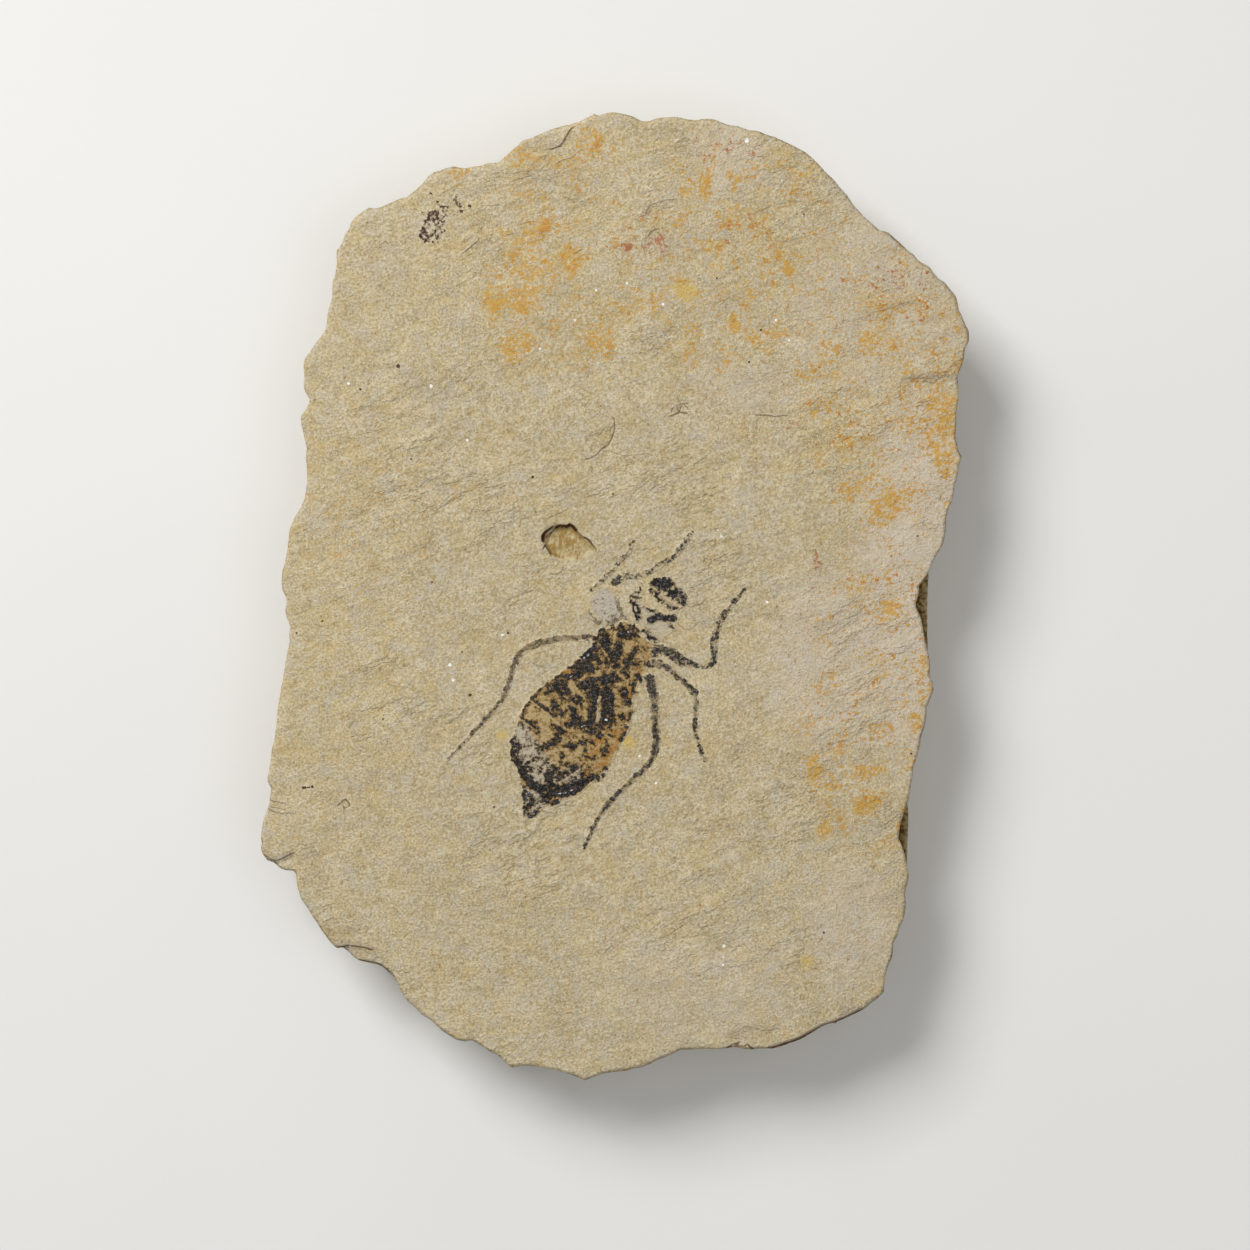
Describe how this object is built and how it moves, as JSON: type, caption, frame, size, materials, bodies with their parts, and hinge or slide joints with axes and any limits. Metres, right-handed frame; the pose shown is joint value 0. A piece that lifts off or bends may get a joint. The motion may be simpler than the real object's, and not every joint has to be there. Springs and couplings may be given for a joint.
{
  "type": "fossil dragonfly nymph plate",
  "caption": "Broken plate of thin-bedded beige marl with a dragonfly nymph preserved as a dark and ochre film in its face.",
  "frame": {"origin": "under the middle of the plate, on the surface that it lies on", "axes": "+X to the right and +Y to the top of the plate, seen from above with the fossil up, +Z out of the fossil face"},
  "size_m": [0.064, 0.0874, 0.0093],
  "materials": {
    "marl": "matt, fine-grained, thin-bedded marl with orange, red and yellow iron stains",
    "body_film": "ochre mineral film broken by glossy black carbon flakes",
    "dark_film": "black carbon film, half gloss, flaked so that the stone shows through",
    "pale_film": "pale lilac-grey film with a thin dark rim"
  },
  "bodies": {
    "root": {"slab": "marl", "nymph_body": "body_film", "nymph_head": "dark_film", "left_eye": "pale_film", "right_eye": "dark_film", "left_front_leg": "dark_film", "left_middle_leg": "dark_film", "left_hind_leg": "dark_film", "right_front_leg": "dark_film", "right_middle_leg": "dark_film", "right_hind_leg": "dark_film"}
  },
  "joints": []
}
